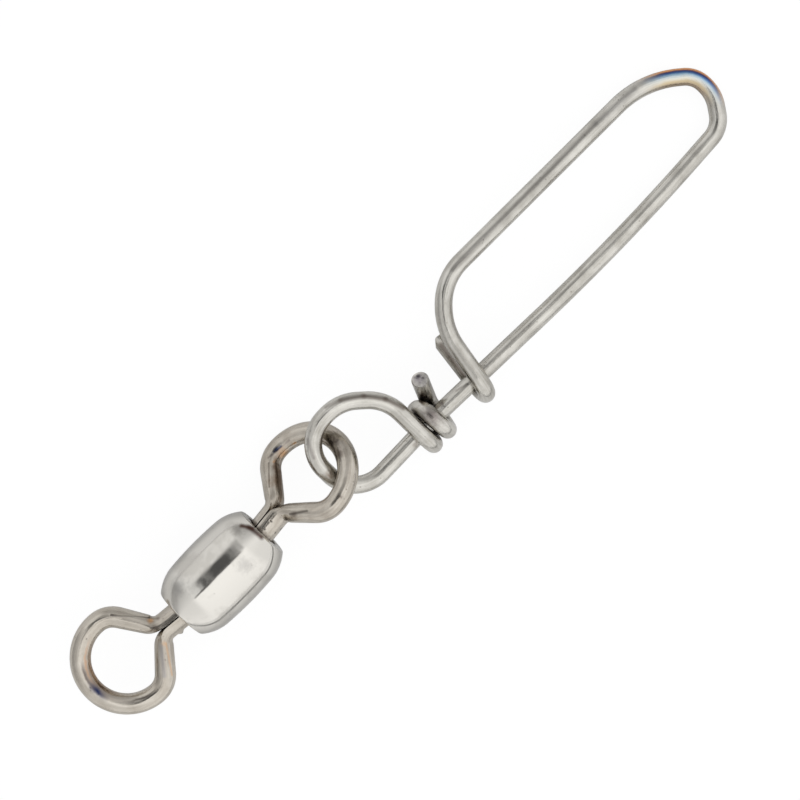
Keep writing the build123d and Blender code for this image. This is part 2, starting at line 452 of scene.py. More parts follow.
snapSizes = {
    "wire": 1.25,
    "endRound": 0.08,
    "coilGap": 0.02,
    "coilPitch": 1.34,
    "coilRoundness": 0.94,
    "coilShares": (1.2, 1.03, 1, 0.47, 0.14, 0),
    "stubLength": 3.5,
    "stubRise": 59.3,
    "stubSwing": 68.0,
    "stubFoot": (1.95, 0.91),
    "stubBend": 0.84,
    "eyeFlank": (-2.38, 3.33),
    "eyeFlankBend": 3.15,
    "eyeLength": 6.52,
    "eyeHeight": 5.54,
    "eyeLift": 1.67,
    "eyeBend": 2.65,
    "shankDip": 0.1,
    "coilExit": 1.35,
    "bow": (19.4, -0.8),
    "bowBends": (38.0, 170.0),
    "bendFoot": (29.95, -0.3),
    "bendFootBend": 2.0,
    "nose": (31.35, 1.65, 3.49),
    "noseBends": (2.7, 1.8),
    "bendTop": (28.55, 5.9),
    "bendTopBend": 7.0,
    "shoulder": (8.76, 6.26),
    "shoulderBend": 4.2,
    "knee": (6.32, 3.8),
    "kneeBend": 4.9,
    "hook": 5.31,
    "hookSkew": 0.32,
    "tailLength": 5.3,
    "tailAngle": 81.7,
    "tailBevel": (0.4, 0.6),
    "linkSlack": 0.67,
    "sideOffset": 1.13,
    "heading": 0.57,
    "step": 0.12,
    "around": 36,
    "endSteps": 5,
}


def snapRoute(sizes):
    # corners and bend radii of the wire, in a frame along the shank
    reach = sizes["wire"] + sizes["coilGap"]
    coilBend = reach * sizes["coilRoundness"]
    rise, swing, tail = (math.radians(sizes[key]) for key in ("stubRise", "stubSwing", "tailAngle"))
    footX, footY = sizes["stubFoot"]
    flat, high = sizes["stubLength"] * math.cos(rise), sizes["stubLength"] * math.sin(rise)
    stubEnd = (footX + flat * math.cos(swing), footY + flat * math.sin(swing), high - reach)
    route = [(stubEnd, None), ((footX, footY, -reach), sizes["stubBend"])]
    corners = ((-1, -1), (-1, 1), (1, 1), (1, -1), (-1, -1), (-1, 1))
    for share, (side, level) in zip(sizes["coilShares"], corners):
        route.append(((share * sizes["coilPitch"], side * reach, level * reach), coilBend))
    flankX, flankY = sizes["eyeFlank"]
    length, height, lift = sizes["eyeLength"], sizes["eyeHeight"], sizes["eyeLift"]
    bowX, bowY = sizes["bow"]
    hookX, tailX = sizes["hook"], sizes["hook"] - sizes["hookSkew"]
    hookY = bowY * (hookX - sizes["coilExit"]) / (bowX - sizes["coilExit"]) - reach
    tailReach, tailRise = sizes["tailLength"] * math.cos(tail), sizes["tailLength"] * math.sin(tail)
    tailEnd = (tailX + tailReach, hookY + tailRise, -reach)
    noseX, noseLow, noseHigh = sizes["nose"]
    route += [
        ((0, flankY, reach), sizes["eyeFlankBend"]),
        ((flankX, height, lift), sizes["eyeFlankBend"]),
        ((-length, height, lift), sizes["eyeBend"]),
        ((-length, -sizes["shankDip"], 0), sizes["eyeBend"]),
        ((sizes["coilExit"], 0, 0), sizes["bowBends"][0]),
        ((bowX, bowY, 0), sizes["bowBends"][1]),
        ((*sizes["bendFoot"], 0), sizes["bendFootBend"]),
        ((noseX, noseLow, 0), sizes["noseBends"][0]),
        ((noseX, noseHigh, 0), sizes["noseBends"][1]),
        ((*sizes["bendTop"], 0), sizes["bendTopBend"]),
        ((*sizes["shoulder"], reach), sizes["shoulderBend"]),
        ((*sizes["knee"], reach), sizes["kneeBend"]),
        ((hookX, hookY, reach), coilBend),
        ((tailX, hookY, -reach), coilBend),
        (tailEnd, None),
    ]
    return route, reach


def snapFrame(sizes, reach):
    # the snap lies on its far bend and on its tail, loose in the link eye
    slope, heading = math.asin(reach / (sizes["nose"][0] - sizes["hook"])), math.radians(sizes["heading"])
    aside, ahead = math.sin(heading), math.cos(heading)
    way = np.array([ahead * math.cos(slope), aside * math.cos(slope), -math.sin(slope)])
    up = np.array([ahead * math.sin(slope), aside * math.sin(slope), math.cos(slope)])
    across = np.cross(up, way)
    tip = linkPivot + linkWay * (eyePath(eyeSizes)[3] + eyeSizes["meanDiameter"] / 2)
    tip = tip - ((eyeSizes["wire"] + sizes["wire"]) / 2 + sizes["linkSlack"], sizes["sideOffset"], 0)
    origin = tip + way * sizes["eyeLength"] - across * sizes["eyeHeight"] / 2
    origin[2] = sizes["wire"] / 2 - barrelSizes["diameter"] / 2 + sizes["nose"][0] * math.sin(slope)
    return origin, np.stack([way, across, up])


def wireRings(path, sizes, frames, lengths):
    # a ring at each point, with the cut ends drawn in step by step for their rounded edges
    radius, edge, steps = sizes["wire"] / 2, sizes["endRound"], sizes["endSteps"]
    ways, leads, sides = frames
    rings = [(path[k], leads[k], sides[k], radius, lengths[k]) for k in range(1, len(path) - 1)]
    for k, direction in ((0, 1), (-1, -1)):
        added = []
        for step in range(steps):
            angle = math.pi / 2 * step / steps
            inset = edge * (1 - math.sin(angle))
            girth = radius - edge * (1 - math.cos(math.pi / 2 - angle))
            centre = path[k] + ways[k] * inset * direction
            added.append((centre, leads[k], sides[k], girth, lengths[k] + inset * direction))
        rings = added + rings if direction > 0 else rings + added[::-1]
    return rings


def slantedEnd(verts, path, way, lead, sizes):
    # the slant at the tail's end: points beyond it are drawn back along the wire
    radius = sizes["wire"] / 2
    width, depth = sizes["tailBevel"]
    aside = (verts - path[-1]) @ np.cross(lead, way)
    back = (path[-1] - verts) @ way
    slant = np.maximum(aside - radius + width, 0) * depth / width
    near = (np.linalg.norm(verts - path[-1], axis=1) < 2 * radius) & (back > -sizes["endRound"])
    return verts - np.outer(np.where(near, slant * np.clip(1 - back / (2 * depth), 0, 1), 0), way)


def wireMesh(name, path, sizes, anchor, lead):
    frames = carriedFrames(path, anchor, lead)
    lengths = pathLengths(path)
    rings = wireRings(path, sizes, frames, lengths)
    around = sizes["around"]
    angles = 2 * math.pi * np.arange(around) / around
    verts, drawn = [], []
    for point, up, side, girth, length in rings:
        for angle in angles:
            verts.append(point + (up * math.cos(angle) + side * math.sin(angle)) * girth)
            drawn.append((girth * math.cos(angle), girth * math.sin(angle), length))
    faces = closedTube(verts, len(rings), around, path)
    for start in (0, (len(rings) - 1) * around):
        rim = drawn[start : start + around]
        drawn += [(x * share, y * share, length) for share in capShares for x, y, length in rim]
    verts = slantedEnd(np.array(verts), path, frames[0][-1], lead, sizes)
    return finishMesh(name, verts, faces, drawn), lengths


route, coilReach = snapRoute(snapSizes)
snapOrigin, snapAxes = snapFrame(snapSizes, coilReach)
corners = [corner for corner, bend in route]
bends = [bend for corner, bend in route[1:-1]]
localPath = filletedPath(corners, bends, snapSizes["step"])
snapPath = localPath @ snapAxes + snapOrigin
farBend = int(np.argmax(localPath[:, 0]))
snap, snapLengths = wireMesh("snapWire", snapPath, snapSizes, farBend, snapAxes[2])
snapWire = [(point, snapSizes["wire"] / 2) for point in snapPath]
print("snap made")


# Closeness of other strands, where dirt gathers and light falls off: it drives painted shade as well as
# dirt

closenessSizes = {"reach": 0.62, "ownReach": 4.0, "ringPoints": 40}


def closeness(piece, ownLine, others, sizes):
    # 1 where another strand touches, 0 where none is within reach
    mesh = piece.data
    lines = [(point, girth, None) for line in others for point, girth in line]
    if ownLine:
        lengths = pathLengths(np.array([point for point, girth in ownLine]))
        lines += [(*own, length) for own, length in zip(ownLine, lengths)]
    tree = KDTree(len(lines))
    for index, (point, girth, length) in enumerate(lines):
        tree.insert(point, index)
    tree.balance()
    drawn = np.zeros(len(mesh.vertices) * 3, np.float32)
    if "drawn" in mesh.attributes:
        mesh.attributes["drawn"].data.foreach_get("vector", drawn)
    drawn = drawn.reshape(-1, 3)
    widest = max(girth for point, girth, length in lines)
    values = np.zeros(len(mesh.vertices), np.float32)
    for k, vertex in enumerate(mesh.vertices):
        gap = sizes["reach"]
        for point, index, distance in tree.find_range(vertex.co / mm, widest + sizes["reach"]):
            point, girth, length = lines[index]
            if length is None or abs(length - drawn[k, 2]) > sizes["ownReach"]:
                gap = min(gap, distance - girth)
        values[k] = 1 - max(gap, 0) / sizes["reach"]
    layer = mesh.attributes.new("closeness", "FLOAT", "POINT")
    layer.data.foreach_set("value", values)


def endRing(side):
    # the edge of the hole in one end of the barrel, as a line that dirt and painted shade gather along
    centre = barrelMiddle + barrelWay * side * barrelSizes["length"] / 2
    radius = barrelSizes["holeDiameter"] / 2
    angles = np.linspace(0, 2 * math.pi, closenessSizes["ringPoints"], endpoint=False)
    return [(centre + radius * np.array([0.0, math.cos(a), math.sin(a)]), 0.0) for a in angles]


closeness(lineEye, lineWire, [endRing(-1)], closenessSizes)
closeness(linkEye, linkWire, [endRing(1), snapWire], closenessSizes)
closeness(snap, snapWire, [linkWire], closenessSizes)
closeness(barrel, [], [endRing(-1), endRing(1), lineWire, linkWire], closenessSizes)
print("closeness measured")


# Nodes

def emptyTree(owner):
    owner.use_nodes = True
    owner.node_tree.nodes.clear()
    return owner.node_tree


def addNode(tree, kind, inputs=None, **settings):
    # a socket among the inputs is linked, a colour gets its alpha, and any other value is set as it is
    node = tree.nodes.new(kind)
    for key, value in settings.items():
        setattr(node, key, value)
    for key, value in (inputs or {}).items():
        socket = node.inputs[key]
        if isinstance(value, bpy.types.NodeSocket):
            tree.links.new(value, socket)
        else:
            socket.default_value = (*value, 1) if socket.type == "RGBA" else value
    return node


def mathNode(tree, operation, *values, clamp=False):
    inputs = dict(enumerate(values))
    return addNode(tree, "ShaderNodeMath", inputs, operation=operation, use_clamp=clamp).outputs[0]


def vectorNode(tree, operation, first, second):
    return addNode(tree, "ShaderNodeVectorMath", {0: first, 1: second}, operation=operation).outputs


def scaled(tree, vector, factor):
    return addNode(tree, "ShaderNodeVectorMath", {0: vector, "Scale": factor}, operation="SCALE").outputs[0]


def noise(tree, vector, scale, detail, roughness=0.5):
    inputs = {"Vector": vector, "Scale": scale, "Detail": detail, "Roughness": roughness}
    return addNode(tree, "ShaderNodeTexNoise", inputs).outputs[0]


def ranged(tree, value, low, high, to=(0.0, 1.0), kind="LINEAR"):
    # low to high becomes 0 to 1, or the two values in `to`
    inputs = {"Value": value, "From Min": low, "From Max": high, "To Min": to[0], "To Max": to[1]}
    return addNode(tree, "ShaderNodeMapRange", inputs, interpolation_type=kind).outputs[0]


def softRange(tree, value, low, high):
    return ranged(tree, value, low, high, kind="SMOOTHSTEP")


def readAttribute(tree, name, output):
    return addNode(tree, "ShaderNodeAttribute", attribute_name=name).outputs[output]


def separated(tree, vector):
    return addNode(tree, "ShaderNodeSeparateXYZ", {0: vector}).outputs


def newGroup(name, inputs, outputs=("Mask",)):
    # an input without a value is a vector, and every other socket is a number
    tree = bpy.data.node_groups.new(name, "ShaderNodeTree")
    for label, value in {"Coordinates": None, **inputs}.items():
        kind = "NodeSocketVector" if value is None else "NodeSocketFloat"
        socket = tree.interface.new_socket(name=label, in_out="INPUT", socket_type=kind)
        if value is not None:
            socket.default_value = value
    for label in outputs:
        tree.interface.new_socket(name=label, in_out="OUTPUT", socket_type="NodeSocketFloat")
    return tree, tree.nodes.new("NodeGroupInput").outputs, tree.nodes.new("NodeGroupOutput").inputs


def useGroup(tree, group, coordinates, **inputs):
    inputs["Coordinates"] = coordinates
    return addNode(tree, "ShaderNodeGroup", inputs, node_tree=group).outputs


def frayed(tree, given, value, scale, detail):
    # the value with noise added to it, by the group's own Raggedness
    centred = mathNode(tree, "SUBTRACT", noise(tree, given["Coordinates"], scale, detail, 0.6), 0.5)
    return mathNode(tree, "MULTIPLY_ADD", centred, given["Raggedness"], value)


def makeDrawnLines():
    # fine lines that run along a drawn wire, and broader bands
    inputs = {"Fineness": 5.0, "Length": 0.06}
    tree, given, out = newGroup("drawnLines", inputs, ("Lines", "Bands"))
    stretch = addNode(tree, "ShaderNodeCombineXYZ", {0: 1.0, 1: 1.0, 2: given["Length"]}).outputs[0]
    straight = vectorNode(tree, "MULTIPLY", given["Coordinates"], stretch)[0]
    fine = noise(tree, straight, given["Fineness"], 5.0, 0.65)
    broad = noise(tree, straight, 1.6, 2.0)
    tree.links.new(ranged(tree, fine, 0.36, 0.64), out["Lines"])
    tree.links.new(ranged(tree, broad, 0.38, 0.62), out["Bands"])
    return tree


def makeDirtAndShadeMask():
    # dirt and painted shade where strands lie close, with a ragged edge
    inputs = {"Closeness": 0.0, "Spread": 0.5, "Raggedness": 0.5}
    tree, given, out = newGroup("dirtAndShadeMask", inputs)
    ragged = frayed(tree, given, given["Closeness"], 2.6, 4.0)
    tree.links.new(softRange(tree, ragged, given["Spread"], 1.0), out["Mask"])
    return tree


def makeScuffs():
    # dark flecks and small dents
    tree, given, out = newGroup("scuffs", {"Size": 1.0, "Cover": 0.3}, ("Mask", "Height"))
    place = given["Coordinates"]
    fineness = mathNode(tree, "DIVIDE", 1.0, given["Size"])
    cells = addNode(tree, "ShaderNodeTexVoronoi", {"Vector": place, "Scale": fineness}).outputs["Distance"]
    fleck = ranged(tree, cells, 0.22, 0.08)
    zone = ranged(tree, noise(tree, place, 0.8, 3.0, 0.6), 0.62, 0.5)
    mask = mathNode(tree, "MULTIPLY", fleck, mathNode(tree, "LESS_THAN", zone, given["Cover"]))
    tree.links.new(mask, out["Mask"])
    tree.links.new(mathNode(tree, "SUBTRACT", 1.0, mask), out["Height"])
    return tree


def makeSpot():
    # a soft ragged spot about a place on the piece
    inputs = {"Centre": None, "Radius": 0.5, "Raggedness": 0.3}
    tree, given, out = newGroup("spot", inputs)
    away = vectorNode(tree, "DISTANCE", given["Coordinates"], given["Centre"])["Value"]
    ragged = frayed(tree, given, away, 3.0, 3.0)
    tree.links.new(softRange(tree, ragged, given["Radius"], 0.0), out["Mask"])
    return tree


def makeStroke():
    # a thin mark along a line between two places on the piece
    inputs = {"Start": None, "End": None, "Width": 0.1}
    tree, given, out = newGroup("stroke", inputs)
    reach = vectorNode(tree, "SUBTRACT", given["Coordinates"], given["Start"])[0]
    run = vectorNode(tree, "SUBTRACT", given["End"], given["Start"])[0]
    along = vectorNode(tree, "DOT_PRODUCT", reach, run)["Value"]
    square = vectorNode(tree, "DOT_PRODUCT", run, run)["Value"]
    share = mathNode(tree, "DIVIDE", along, square, clamp=True)
    away = vectorNode(tree, "DISTANCE", reach, scaled(tree, run, share))["Value"]
    tree.links.new(softRange(tree, away, given["Width"], 0.0), out["Mask"])
    return tree


def makeBand():
    # a ragged band that follows the wire, with a place and width across it and a middle and reach along it
    inputs = {"Inward": 0.0, "Width": 0.1, "Along": 0.0, "Reach": 1.0}
    tree, given, out = newGroup("band", inputs)
    parts = separated(tree, given["Coordinates"])
    wander = ranged(tree, noise(tree, given["Coordinates"], 1.3, 4.0, 0.6), 0.3, 0.7, to=(-0.07, 0.07))
    level = mathNode(tree, "ADD", parts["X"], wander)
    mask = mathNode(tree, "GREATER_THAN", parts["Y"], -0.1)  # the upper side alone
    for value, middle, reach in ((level, "Inward", "Width"), (parts["Z"], "Along", "Reach")):
        away = mathNode(tree, "ABSOLUTE", mathNode(tree, "SUBTRACT", value, given[middle]))
        mask = mathNode(tree, "MULTIPLY", mask, softRange(tree, away, given[reach], 0.0))
    tree.links.new(mask, out["Mask"])
    return tree


drawnLines, dirtAndShadeMask, scuffs = makeDrawnLines(), makeDirtAndShadeMask(), makeScuffs()
spot, stroke, band = makeSpot(), makeStroke(), makeBand()


def mixColour(tree, factor, first, second, blend="MIX"):
    # with colours, the node reads its inputs 0, 6 and 7 and gives its output 2
    inputs = {0: factor, 6: first, 7: second}
    return addNode(tree, "ShaderNodeMix", inputs, data_type="RGBA", blend_type=blend).outputs[2]


def tinted(tree, colour, tint, mask, strength):
    return mixColour(tree, mathNode(tree, "MULTIPLY", mask, strength), colour, tint)


def startSurface(name, piece, look):
    # a worn metal: its tree and surface, the place on it, and where its dirt with painted shade and its
    # flecks lie
    material = bpy.data.materials.new(name)
    piece.data.materials.append(material)
    tree = emptyTree(material)
    surface = addNode(tree, "ShaderNodeBsdfPrincipled", {"Metallic": 1.0})
    addNode(tree, "ShaderNodeOutputMaterial", {"Surface": surface.outputs[0]})
    place = scaled(tree, addNode(tree, "ShaderNodeTexCoord").outputs["Object"], 1 / mm)
    near = readAttribute(tree, "closeness", "Fac")
    spread, raggedness = look["dirtAndShadeSpread"], look["raggedness"]
    dirtAndShade = useGroup(tree, dirtAndShadeMask, place, Closeness=near, Spread=spread, Raggedness=raggedness)["Mask"]
    flecks = useGroup(tree, scuffs, place, Size=look["fleckSize"], Cover=look["fleckCover"])
    return tree, surface, place, dirtAndShade, flecks


def finishSurface(tree, surface, look, colour, dullness, height, wearAndShade):
    dirtAndShade, flecks, grooves = wearAndShade
    # dirt and painted shade darken the colour where strands lie close
    colour = mixColour(tree, dirtAndShade, colour, look["dirtAndShade"])
    low, high = look["roughness"]
    rough = mathNode(tree, "MULTIPLY_ADD", dullness, high - low, low)
    rough = mathNode(tree, "MULTIPLY_ADD", dirtAndShade, look["stainRoughness"], rough)
    height = mathNode(tree, "MULTIPLY_ADD", flecks["Height"], look["fleckHeight"], height)
    height = mathNode(tree, "MULTIPLY_ADD", grooves, look["grooveHeight"], height)
    inputs = {"Strength": look["bumpStrength"], "Distance": look["bumpDistance"] * mm, "Height": height}
    bump = addNode(tree, "ShaderNodeBump", inputs).outputs[0]
    for key, value in (("Base Color", colour), ("Roughness", rough), ("Normal", bump)):
        tree.links.new(value, surface.inputs[key])


treesOf = {}
skyHeight = 50  # where the straight lines down to a piece start


def topOf(piece, x, y):
    # the place on the piece straight below a point in the plan, in millimetres
    if piece.name not in treesOf:
        verts = [vertex.co for vertex in piece.data.vertices]
        polygons = [face.vertices[:] for face in piece.data.polygons]
        treesOf[piece.name] = BVHTree.FromPolygons(verts, polygons)
    start = Vector((x * mm, y * mm, skyHeight * mm))
    hit = treesOf[piece.name].ray_cast(start, Vector((0, 0, -1)))[0]
    return tuple(hit / mm) if hit else (x, y, 0.0)


# Wire materials

eyeMiddle = pathLengths(eyePath(eyeSizes)[0])[-1] / 2

heatLook = {
    "middle": snapLengths[farBend],
    "before": 0.9,
    "after": 3.9,
    "fade": 1.2,
    "turn": 0.47,
    "wander": 0.06,
    "strength": 0.95,
    "bands": [
        (0.26, (0.30, 0.24, 0.18)),
        (0.36, (0.46, 0.36, 0.26)),
        (0.41, (0.66, 0.54, 0.34)),
        (0.46, (0.72, 0.69, 0.60)),
        (0.51, (0.60, 0.68, 0.72)),
        (0.54, (0.34, 0.52, 0.68)),
        (0.57, (0.07, 0.18, 0.45)),
        (0.60, (0.025, 0.045, 0.18)),
        (0.622, (0.22, 0.09, 0.09)),
        (0.645, (0.82, 0.36, 0.12)),
        (0.76, (0.70, 0.34, 0.14)),
        (0.90, (0.50, 0.46, 0.42)),
    ],
}

wireLook = {
    "raggedness": 0.7,
    "fleckSize": 0.33,
    "fleckTint": 0.45,
    "fleckHeight": 0.8,
    "lineDullness": 0.45,
    "cloudDullness": 0.5,
    "cloudGrain": (0.55, 4.0, 0.62),  # scale, detail and roughness of the noise
    "cloudRange": (0.4, 0.68),
    "stainRoughness": 0.3,
    "bandHeight": 1.4,
    "grooveHeight": -2.5,
    "bumpStrength": 0.55,
    "bumpDistance": 0.022,
}
eyeLook = {**wireLook, "middle": eyeMiddle, "roughness": (0.12, 0.25), "lineDepth": 0.5, "lineLength": 0.10}

# spots: place in the plan, radius, tint, strength
# strokes: start and end in the plan, width, tint, strength, depth
# bands: place across the wire, width, place along it, reach, tint, strength
lineEyeLook = {
    **eyeLook,
    "bright": (0.66, 0.615, 0.545),
    "dull": (0.43, 0.385, 0.325),
    "dirtAndShade": (0.075, 0.05, 0.035),
    "dirtAndShadeSpread": 0.5,
    "fineness": 3.2,
    "fleckCover": 0.35,
    "spots": [
        ((3.13, 0.67), 0.34, (0.60, 0.34, 0.16), 0.85),
        ((2.99, 0.0), 0.5, (0.16, 0.11, 0.08), 0.6),
        ((2.66, -1.17), 0.3, (0.62, 0.42, 0.27), 0.6),
    ],
    "strokes": [
        ((1.49, 2.9), (3.18, 0.84), 0.12, (0.05, 0.035, 0.03), 0.8, 1.0),
        ((3.23, 0.84), (3.65, 0.37), 0.19, (0.14, 0.10, 0.07), 0.6, 0.4),
        ((1.43, -3.1), (2.75, -1.25), 0.14, (0.68, 0.45, 0.28), 0.65, 0.0),
        ((1.05, -2.75), (2.35, -1.15), 0.3, (0.30, 0.29, 0.30), 0.55, 0.0),
    ],
    "bands": [
        (-0.42, 0.46, -0.3, 3.2, (0.20, 0.155, 0.125), 0.8),
        (-0.40, 0.14, 1.9, 2.6, (0.72, 0.44, 0.27), 0.65),
        (-0.22, 0.38, -0.45, 1.3, (0.02, 0.03, 0.09), 1.0),
        (-0.18, 0.16, 0.9, 1.6, (0.10, 0.07, 0.07), 0.7),
        (-0.68, 0.20, 0.8, 4.4, (0.36, 0.21, 0.11), 0.8),
        (-0.30, 0.16, -4.2, 2.0, (0.07, 0.05, 0.04), 0.75),
    ],
}
linkEyeLook = {
    **eyeLook,
    "bright": (0.67, 0.625, 0.555),
    "dull": (0.37, 0.325, 0.27),
    "dirtAndShade": (0.07, 0.045, 0.03),
    "dirtAndShadeSpread": 0.34,
    "fineness": 3.0,
    "fleckCover": 0.45,
    "spots": [
        ((17.85, 2.25), 0.62, (0.62, 0.36, 0.18), 0.85),
        ((17.71, 2.80), 0.26, (0.02, 0.04, 0.12), 1.0),
        ((16.1, 1.3), 0.8, (0.34, 0.25, 0.18), 0.6),
        # the next two spots are painted shade on the inner side of the far bow, where the snap lies in it
        ((20.98, 0.35), 0.9, (0.05, 0.035, 0.03), 0.9),
        ((20.66, -0.49), 0.8, (0.08, 0.055, 0.045), 0.8),
        ((13.33, -0.56), 0.14, (0.05, 0.04, 0.035), 0.9),
        ((13.63, -1.26), 0.12, (0.05, 0.04, 0.035), 0.8),
        ((18.71, -2.68), 0.35, (0.10, 0.075, 0.06), 0.75),
        ((15.5, -1.29), 0.4, (0.10, 0.075, 0.06), 0.7),
    ],
    "strokes": [
        ((17.45, 2.80), (18.1, 2.72), 0.13, (0.03, 0.05, 0.12), 0.9, 0.3),
        ((16.9, 2.78), (18.8, 2.60), 0.14, (0.20, 0.16, 0.15), 0.6, 0.2),
        ((16.97, 2.30), (18.97, 2.18), 0.16, (0.62, 0.36, 0.18), 0.8, 0.0),
        ((14.03, -0.42), (14.07, -1.36), 0.12, (0.05, 0.035, 0.03), 0.9, 1.4),
        ((15.4, 0.04), (16.81, 1.55), 0.22, (0.16, 0.10, 0.06), 0.75, 0.2),
        ((15.56, 1.29), (16.66, 2.47), 0.11, (0.10, 0.07, 0.05), 0.6, 0.5),
        ((15.33, -1.04), (16.34, -1.73), 0.15, (0.06, 0.045, 0.035), 0.7, 0.6),
        ((16.5, -2.0), (18.6, -2.75), 0.2, (0.68, 0.62, 0.54), 0.5, 0.0),
    ],
    "bands": [(-0.62, 0.26, -7.0, 3.6, (0.13, 0.08, 0.05), 0.9)],
}
snapLook = {
    **wireLook,
    "bright": (0.73, 0.71, 0.66),
    "dull": (0.40, 0.38, 0.34),
    "dirtAndShade": (0.06, 0.042, 0.03),
    "dirtAndShadeSpread": 0.38,
    "roughness": (0.11, 0.24),
    "fineness": 4.2,
    "lineDepth": 0.6,
    "lineLength": 0.05,
    "fleckCover": 0.3,
    "spots": [
        ((28.33, -0.85), 0.95, (0.33, 0.30, 0.32), 0.8),
        ((28.38, -0.66), 0.30, (0.045, 0.04, 0.05), 0.95),
        ((28.55, -1.0), 0.16, (0.05, 0.045, 0.045), 0.8),
        # the next four spots are painted shade: the stub's darker side and its shadowed foot
        ((27.62, -1.75), 0.75, (0.13, 0.095, 0.075), 0.85),
        ((27.13, -3.31), 1.2, (0.24, 0.20, 0.19), 0.8),
        ((27.64, -2.25), 0.7, (0.20, 0.16, 0.14), 0.7),
        ((28.12, -3.18), 0.35, (0.16, 0.13, 0.12), 0.7),
        ((24.86, -3.92), 0.45, (0.22, 0.18, 0.15), 0.5),
        ((19.17, -1.11), 0.5, (0.20, 0.14, 0.10), 0.7),
    ],
    "strokes": [
        # painted shadow at the foot of the stub
        ((28.12, -3.42), (28.24, -3.09), 0.12, (0.12, 0.10, 0.09), 0.6, 0.6),
        ((29.52, -3.29), (30.34, -3.51), 0.17, (0.20, 0.17, 0.15), 0.5, 0.3),
        ((31.0, -0.3), (30.65, -3.0), 0.42, (0.17, 0.14, 0.12), 0.85, 0.3),
        # the next four strokes are painted shade along the outer edge of the snap's eye
        ((22.4, 2.36), (23.45, 2.0), 0.26, (0.25, 0.225, 0.20), 0.6, 0.0),
        ((23.45, 2.0), (24.78, 1.05), 0.32, (0.17, 0.14, 0.12), 0.75, 0.0),
        ((24.78, 1.05), (25.68, -0.17), 0.32, (0.16, 0.13, 0.11), 0.8, 0.0),
        ((25.68, -0.17), (26.1, -1.5), 0.30, (0.15, 0.12, 0.10), 0.8, 0.0),
        ((19.3, 0.5), (19.9, 1.7), 0.26, (0.30, 0.27, 0.25), 0.6, 0.0),
        # the next two strokes are a painted reflection: a darker band along the upper arm
        ((35.4, 2.78), (49.6, 2.86), 0.34, (0.24, 0.225, 0.21), 0.6, 0.0),
        ((49.6, 2.86), (53.2, 2.58), 0.38, (0.26, 0.25, 0.24), 0.6, 0.0),
    ],
    "bands": [],
    "heat": heatLook,
}


def colourRamp(tree, value, stops):
    ramp = addNode(tree, "ShaderNodeValToRGB", {0: value})
    elements = ramp.color_ramp.elements
    while len(elements) < len(stops):
        elements.new(0.5)
    for element, (position, colour) in zip(elements, stops):
        element.position = position
        element.color = (*colour, 1)
    return ramp.outputs[0]


def greyRamp(tree, value, stops, top=1.0):
    return colourRamp(tree, value, [(position, (tone / top,) * 3) for position, tone in stops])


def markedColour(tree, piece, place, colour, look):
    # soft spots and thin strokes at places in the plan, and how deep the strokes are
    for (x, y), radius, tint, strength in look["spots"]:
        centre = topOf(piece, x, y)
        mask = useGroup(tree, spot, place, Centre=centre, Radius=radius, Raggedness=radius)["Mask"]
        colour = tinted(tree, colour, tint, mask, strength)
    grooves = 0.0
    for start, end, width, tint, strength, depth in look["strokes"]:
        start, end = topOf(piece, *start), topOf(piece, *end)
        mask = useGroup(tree, stroke, place, Start=start, End=end, Width=width)["Mask"]
        colour = tinted(tree, colour, tint, mask, strength)
        grooves = mathNode(tree, "MULTIPLY_ADD", mask, depth, grooves)
    return colour, grooves


def heatTinted(tree, drawn, colour, look):
    # bands of oxide colour round the outside of the far bend
    parts = separated(tree, drawn)
    angle = mathNode(tree, "ARCTAN2", parts["Y"], parts["X"])
    turn = mathNode(tree, "MULTIPLY_ADD", angle, 0.5 / math.pi, look["turn"])
    turn = mathNode(tree, "MULTIPLY_ADD", noise(tree, drawn, 0.9, 3.0), look["wander"], turn)
    ramp = colourRamp(tree, turn, look["bands"])
    start, end, fade = look["middle"] - look["before"], look["middle"] + look["after"], look["fade"]
    rising = softRange(tree, parts["Z"], start - fade, start + fade)
    falling = softRange(tree, parts["Z"], end + fade, end - fade)
    return tinted(tree, colour, ramp, mathNode(tree, "MULTIPLY", rising, falling), look["strength"])


def wireMaterial(name, piece, look):
    tree, surface, place, dirtAndShade, flecks = startSurface(name, piece, look)
    drawn = readAttribute(tree, "drawn", "Vector")
    lines = useGroup(tree, drawnLines, drawn, Fineness=look["fineness"], Length=look["lineLength"])
    cloud = ranged(tree, noise(tree, place, *look["cloudGrain"]), *look["cloudRange"])
    clouded = mathNode(tree, "MULTIPLY", cloud, look["cloudDullness"])
    dullness = mathNode(tree, "MULTIPLY_ADD", lines["Lines"], look["lineDullness"], clouded)
    colour = mixColour(tree, dullness, look["bright"], look["dull"])
    colour = tinted(tree, colour, look["dirtAndShade"], flecks["Mask"], look["fleckTint"])
    colour, grooves = markedColour(tree, piece, place, colour, look)
    for inward, width, along, reach, tint, strength in look["bands"]:
        along += look["middle"]
        mask = useGroup(tree, band, drawn, Inward=inward, Width=width, Along=along, Reach=reach)["Mask"]
        colour = tinted(tree, colour, tint, mask, strength)
    if "heat" in look:
        colour = heatTinted(tree, drawn, colour, look["heat"])
    bands = mathNode(tree, "MULTIPLY", lines["Bands"], look["bandHeight"])
    height = mathNode(tree, "MULTIPLY_ADD", lines["Lines"], look["lineDepth"], bands)
    finishSurface(tree, surface, look, colour, dullness, height, (dirtAndShade, flecks, grooves))


wireMaterial("lineEyeSteel", lineEye, lineEyeLook)
wireMaterial("linkEyeSteel", linkEye, linkEyeLook)
wireMaterial("snapSteel", snap, snapLook)
print("wire materials made")


# Barrel plating

